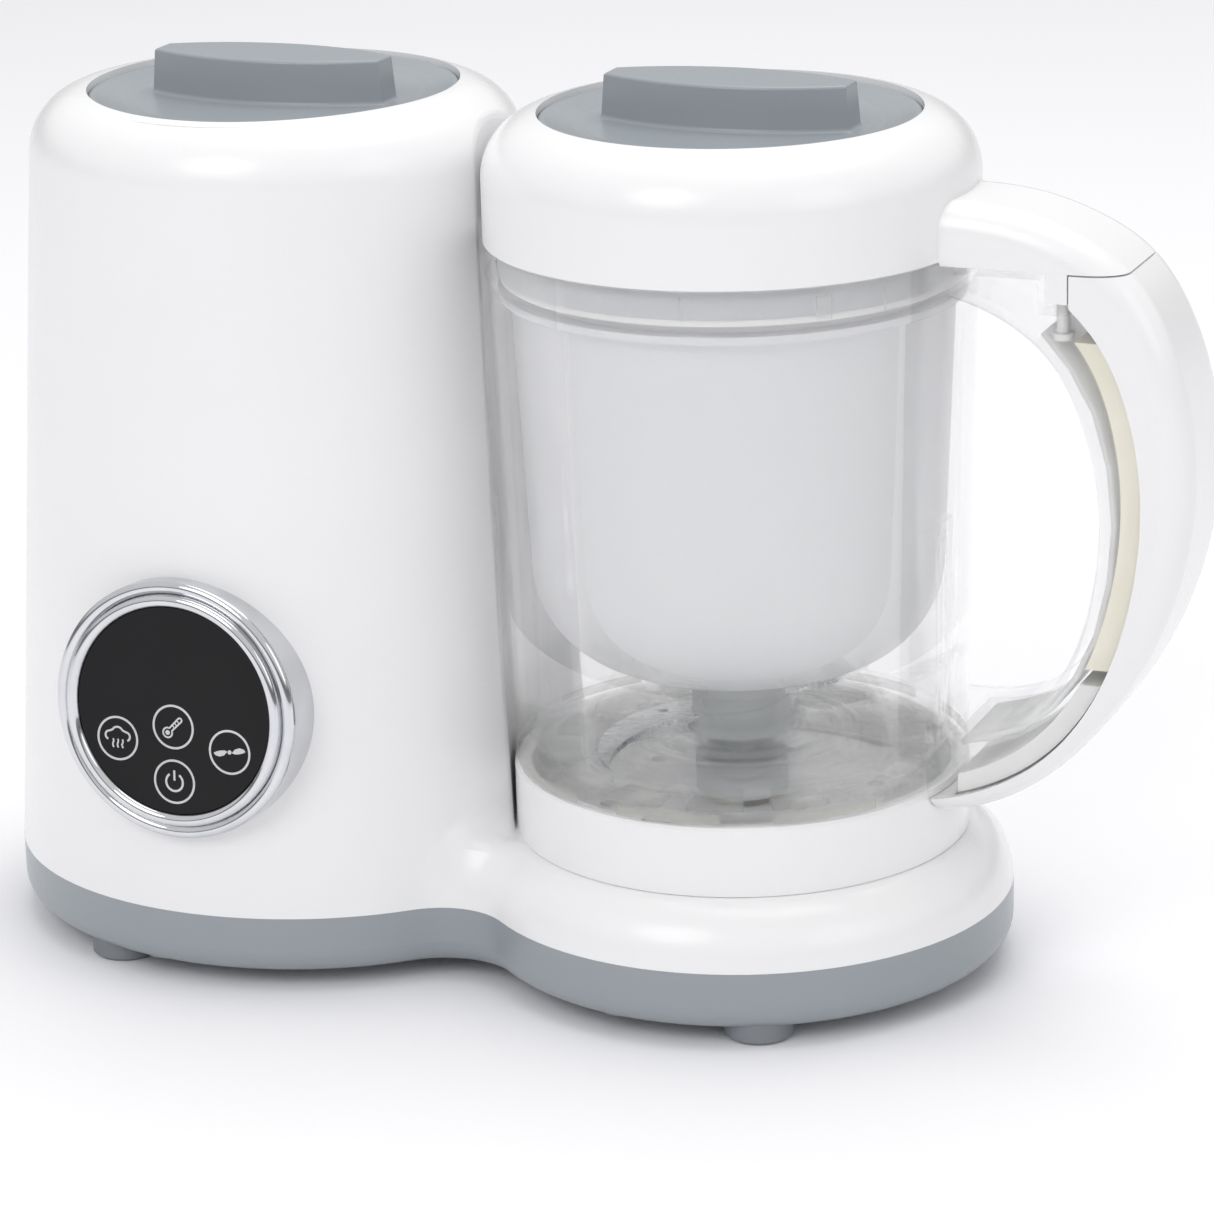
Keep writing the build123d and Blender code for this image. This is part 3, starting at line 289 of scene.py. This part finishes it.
def ribbon(bm, points, width, place, thick, closed=False):
    """Raised line of constant width in the plane of `place`."""
    count = len(points)
    rows = []
    for i, (x, y) in enumerate(points):
        if closed:
            x0, y0 = points[i - 1]
            x1, y1 = points[(i + 1) % count]
        else:
            x0, y0 = points[max(i - 1, 0)]
            x1, y1 = points[min(i + 1, count - 1)]
        length = sqrt((x1 - x0) ** 2 + (y1 - y0) ** 2) or 1
        nx, ny = -(y1 - y0) / length * width / 2, (x1 - x0) / length * width / 2
        corners = ((x + nx, y + ny, 0), (x - nx, y - ny, 0), (x - nx, y - ny, thick),
                   (x + nx, y + ny, thick))
        rows.append([bm.verts.new(place @ (Vector(c) * MM)) for c in corners])
    skin(bm, rows, closed)


def plate(bm, outline, place, thick):
    """Filled shape with a raised top."""
    skin(bm, [[bm.verts.new(place @ (Vector((x, y, z)) * MM)) for x, y in outline]
              for z in (0, thick)])


# ---------------------------------------------------------------- control panel
# Heights are measured along the panel axis from the mounting face behind the glass.
PANEL_TILT = radians(3.9)
GLASS_MIDDLE, GLASS_TOP = 3.1, 4.4
BEZEL_BORE_R, BEZEL_OUTER_R, BEZEL_WALL_R = 26.25, 32.8, 30.4
BEZEL_BACK, BEZEL_SEAT = -11.5, 1.4


def panel_frame():
    """Frame on the mounting face: X right, Y up along the tilted face, Z out of it."""
    out = Vector((0, -cos(PANEL_TILT), sin(PANEL_TILT)))
    up = Vector((0, sin(PANEL_TILT), cos(PANEL_TILT)))
    origin = box_centre("touch_glass") - out * GLASS_MIDDLE * MM
    turn = Matrix((Vector((1, 0, 0)), up, out)).transposed()
    return Matrix.Translation(origin) @ turn.to_4x4()


PANEL = panel_frame()


def make_bezel():
    """Chrome ring: rounded outer bead, groove and a taller inner bead."""
    outer_bead = arc_points(31.1, 2.9, 1.7, 0, 150, 16)
    inner_bead = arc_points(27.9, 4.1, 1.6, 35, 175, 16)
    section = [(BEZEL_WALL_R, BEZEL_SEAT), (BEZEL_WALL_R, BEZEL_BACK),
               (BEZEL_OUTER_R, BEZEL_BACK), (BEZEL_OUTER_R, 2.5)]
    section += outer_bead + [(29.45, 3.35)] + inner_bead
    section += [(BEZEL_BORE_R, 3.6), (BEZEL_BORE_R, BEZEL_SEAT + 0.05)]
    piece = make_piece("bezel_rings", revolve(section, PANEL, 200), CHROME, "housing",
                       ("control_bezel",))
    piece.data.set_sharp_from_angle(angle=radians(40))


PRINT_THICK = 0.10
KEY_RING_R, KEY_RING_LINE = 5.4, 0.55
SYMBOL_LINE = 0.42


def draw_steam(bm, here):
    """Cloud of three puffs over three wavy lines."""
    cloud = (arc_points(-2.3, 0.6, 1.1, 250, 95, 12) + arc_points(0, 1.3, 1.6, 150, 30, 14)
             + arc_points(2.3, 0.6, 1.1, 85, -70, 12))
    ribbon(bm, cloud, 0.5, here, PRINT_THICK)
    for x in (-1.3, 0, 1.3):
        wave = [(x + 0.14 * sin(t * 0.9), -0.2 - 0.28 * t) for t in range(9)]
        ribbon(bm, wave, SYMBOL_LINE, here, PRINT_THICK)


def draw_temperature(bm, here):
    """Thermometer leaning to the right, with a filled bulb and three marks."""
    tilted = here @ Matrix.Rotation(radians(-45), 4, "Z")
    bulb_y = -2.2
    outline = arc_points(0, bulb_y, 1.25, 112, 428, 24) + arc_points(0, 2.6, 0.55, 0, 180, 10)
    ribbon(bm, outline, SYMBOL_LINE, tilted, PRINT_THICK, closed=True)
    plate(bm, disc_points(0, bulb_y, 0.62, 20), tilted, PRINT_THICK)
    for y in (0.1, 1.0, 1.9):
        ribbon(bm, [(-0.3, y), (0.35, y)], 0.28, tilted, PRINT_THICK)


def draw_power(bm, here):
    """Open ring with a bar in its gap."""
    ribbon(bm, arc_points(0, -0.1, 2.3, 125, 415, 36), KEY_RING_LINE, here, PRINT_THICK)
    ribbon(bm, [(0, 0.3), (0, 2.9)], KEY_RING_LINE, here, PRINT_THICK)


def draw_blend(bm, here):
    """Two curved blades round a dot."""
    plate(bm, disc_points(0, 0, 0.55, 18), here, PRINT_THICK)
    blade = ([(0.75, 0.1), (1.6, 0.95), (2.8, 1.35), (3.9, 1.1), (4.35, 0.55)]
             + [(3.7, 0.15), (2.6, -0.2), (1.5, -0.35), (0.8, -0.2)])
    for turn in (0, 180):
        plate(bm, blade, here @ Matrix.Rotation(radians(turn), 4, "Z"), PRINT_THICK)


# Key centres on the glass, from the middle of the panel.
KEYS = {
    "steam": (draw_steam, -15.5, -8.5),
    "temperature": (draw_temperature, 0, -4.0),
    "power": (draw_power, 0, -18.0),
    "blend": (draw_blend, 15.4, -8.8),
}


def make_keys():
    """Four ringed touch symbols."""
    for key, (draw_symbol, x, y) in KEYS.items():
        bm = bmesh.new()
        here = PANEL @ Matrix.Translation(Vector((x, y, GLASS_TOP)) * MM)
        ribbon(bm, disc_points(0, 0, KEY_RING_R, 64), KEY_RING_LINE, here, PRINT_THICK,
               closed=True)
        draw_symbol(bm, here)
        make_piece("key_" + key, bm, SYMBOL, "housing", smooth=False)


make_bezel()
make_keys()


# ---------------------------------------------------------------- jar details
def jar_point(radius, azimuth, z):
    """Point at a radius and an azimuth in radians round the jar axis, in metres."""
    return Vector((JAR_X + radius * cos(azimuth) * MM, radius * sin(azimuth) * MM, z * MM))


def curved_bar(bm, azimuth, spread, r_in, r_out, z_low, z_high, steps=8):
    """Block that follows a circle round the jar axis; angles in degrees."""
    rows = []
    for i in range(steps + 1):
        a = radians(azimuth - spread / 2 + spread * i / steps)
        corners = ((r_in, z_low), (r_out, z_low), (r_out, z_high), (r_in, z_high))
        rows.append([bm.verts.new(jar_point(r, a, z)) for r, z in corners])
    skin(bm, rows)


def make_rim_lugs():
    """Lugs round the thick rim at the foot of the jar and under its floor, in clear plastic made
    darker as painted shade for the thick rim.
    """
    bm = bmesh.new()
    for i in range(1, 9):
        curved_bar(bm, i * 40 - 8, 27, 56.25, 56.65, 53.7, 56.1)
    under_floor = 14
    for i in range(under_floor):
        curved_bar(bm, i * 360 / under_floor, 17, 40.5, 48.0, 53.6, 55.0)
    # The lugs carry the painted shade material.
    make_piece("rim_lugs", bm, PAINTED_RIM_SHADE, "jar", smooth=False)


def make_flange_marks():
    """Small bump and two mould lines on the clear flange."""
    bm = bmesh.new()
    curved_bar(bm, -48.9, 3.4, 60.2, 61.5, 178.0, 183.8, 6)
    for azimuth in (-80.6, -33.3):
        curved_bar(bm, azimuth, 0.5, 60.25, 60.55, 177.6, 184.2, 2)
    bmesh.ops.bevel(bm, geom=bm.edges[:], offset=0.12 * MM, segments=2, affect="EDGES",
                    clamp_overlap=True)
    make_piece("flange_marks", bm, CLEAR, "jar")


def make_hub_line():
    """Raised spiral that runs nearly once round the blade hub."""
    steps, sweep, start = 90, 330, -200
    z_start, climb = 63.0, 8.5
    r_start, draw_in = 12.15, 0.1
    section = ((-0.3, -0.5), (0.3, -0.15), (0.3, 0.15), (-0.3, 0.5))
    bm = bmesh.new()
    rows = []
    for i in range(steps + 1):
        t = i / steps
        a = radians(start + sweep * t)
        r, z = r_start - draw_in * t, z_start + climb * t
        rows.append([bm.verts.new(jar_point(r + dr, a, z + dz)) for dr, dz in section])
    skin(bm, rows)
    make_piece("hub_spiral", bm, HUB, "blades")


def make_grip_liner():
    """Grey insert that lines the clear channel on the finger side."""
    # (distance from the jar axis, height) up the inside of the handle
    curve = [(62.5, 67.0), (69, 68.6), (77.5, 71.9), (84.5, 77.6), (90.5, 86.2), (95.4, 97),
             (98.4, 110), (99.5, 124), (98.2, 138), (94.6, 151), (88.8, 161.5), (82, 169.5)]
    half_width, thick = 14.0, 1.3
    bm = bmesh.new()
    rows = []
    for i, (x, z) in enumerate(curve):
        x0, z0 = curve[max(i - 1, 0)]
        x1, z1 = curve[min(i + 1, len(curve) - 1)]
        out = Vector((z1 - z0, 0, x0 - x1)).normalized() * thick
        near = Vector((x, 0, z)) + Vector((JAR_X / MM, 0, 0))
        side = Vector((0, half_width, 0))
        corners = (near - side, near + side, near + out + side, near + out - side)
        rows.append([bm.verts.new(corner * MM) for corner in corners])
    skin(bm, rows)
    bmesh.ops.subdivide_edges(bm, edges=bm.edges[:], cuts=2, smooth=0.0)
    make_piece("grip_liner", bm, LINER, "jar")


make_rim_lugs()
make_grip_liner()
make_flange_marks()
make_hub_line()


# ---------------------------------------------------------------- studio
FLOOR_HALF = 4.0
OBJECT_MIDDLE = Vector((0.0, 0.0, 0.11))

# name, place, disc diameter, watts
LIGHTS = (
    ("key", (-0.35, -1.65, 1.35), 1.1, 8.5),
    ("fill", (1.5, -0.7, 0.9), 1.0, 2.2),
    ("top", (0.1, 0.35, 1.7), 1.5, 11),
)

# height in the surround from straight down (0) to straight up (1), grey
SURROUND = ((0.0, 0.80), (0.46, 0.85), (0.50, 0.40), (0.56, 0.24), (0.62, 0.95), (1.0, 1.0))
SURROUND_STRENGTH = 0.75

CAMERA_PLACE = (0.4257, -0.9994, 0.4381)
CAMERA_AZIMUTH, CAMERA_ELEVATION, CAMERA_ROLL = 22.887, 17.956, -1.6208
CAMERA_LENS, CAMERA_SENSOR = 134.6, 36


def make_floor():
    mesh = bpy.data.meshes.new("floor")
    h = FLOOR_HALF
    mesh.from_pydata([(-h, -h, 0), (h, -h, 0), (h, h, 0), (-h, h, 0)], [], [(0, 1, 2, 3)])
    floor = bpy.data.objects.new("floor", mesh)
    bpy.context.scene.collection.objects.link(floor)
    material = new_material("floor_paper", (0.95, 0.945, 0.965), 0.6)
    vary_colour(material, (0.945, 0.94, 0.962), (0.952, 0.948, 0.966), 3)
    mesh.materials.append(material)


def add_light(name, place, size, energy):
    """Soft round light aimed at the middle of the object."""
    data = bpy.data.lights.new(name, "AREA")
    data.shape = "DISK"
    data.size = size
    data.energy = energy
    lamp = bpy.data.objects.new(name, data)
    bpy.context.scene.collection.objects.link(lamp)
    lamp.location = place
    aim = OBJECT_MIDDLE - Vector(place)
    lamp.rotation_euler = aim.to_track_quat("-Z", "Y").to_euler()


def make_world():
    """White surround, greyer below, with a dark band at the horizon for the chrome."""
    world = bpy.data.worlds.new("studio")
    world.use_nodes = True
    bpy.context.scene.world = world
    tree = world.node_tree
    background = tree.nodes["Background"]
    where = tree.nodes.new("ShaderNodeTexCoord")
    split = tree.nodes.new("ShaderNodeSeparateXYZ")
    ramp = tree.nodes.new("ShaderNodeValToRGB")
    spread = tree.nodes.new("ShaderNodeMapRange")
    spread.inputs["From Min"].default_value = -1
    spread.inputs["From Max"].default_value = 1
    ramp.color_ramp.elements[0].position = SURROUND[0][0]
    ramp.color_ramp.elements[1].position = SURROUND[-1][0]
    for height, _ in SURROUND[1:-1]:
        ramp.color_ramp.elements.new(height)
    for element, (_, grey) in zip(ramp.color_ramp.elements, SURROUND):
        element.color = (grey, grey, grey * 1.01, 1)
    tree.links.new(where.outputs["Generated"], split.inputs["Vector"])
    tree.links.new(split.outputs["Z"], spread.inputs["Value"])
    tree.links.new(spread.outputs["Result"], ramp.inputs["Fac"])
    tree.links.new(ramp.outputs["Color"], background.inputs["Color"])
    background.inputs["Strength"].default_value = SURROUND_STRENGTH


def make_camera():
    """Long lens from the right of the front and above, as in the photograph."""
    data = bpy.data.cameras.new("camera")
    data.lens, data.sensor_width = CAMERA_LENS, CAMERA_SENSOR
    data.clip_start, data.clip_end = 0.05, 30
    camera = bpy.data.objects.new("camera", data)
    bpy.context.scene.collection.objects.link(camera)
    azimuth, elevation = radians(CAMERA_AZIMUTH), radians(CAMERA_ELEVATION)
    roll = radians(CAMERA_ROLL)
    ahead = Vector((-sin(azimuth) * cos(elevation), cos(azimuth) * cos(elevation),
                    -sin(elevation)))
    right = Vector((cos(azimuth), sin(azimuth), 0))
    up = right.cross(ahead)
    right_rolled = right * cos(roll) + up * sin(roll)
    up_rolled = up * cos(roll) - right * sin(roll)
    turn = Matrix((right_rolled, up_rolled, -ahead)).transposed()
    camera.matrix_world = Matrix.Translation(CAMERA_PLACE) @ turn.to_4x4()
    bpy.context.scene.camera = camera


make_floor()
make_world()
make_camera()
for light in LIGHTS:
    add_light(*light)
bpy.context.scene.view_settings.view_transform = "Standard"
bpy.context.scene.view_settings.exposure = 0.02
# A look through the jar and the basket crosses many thin walls.
bpy.context.scene.cycles.transparent_max_bounces = 32
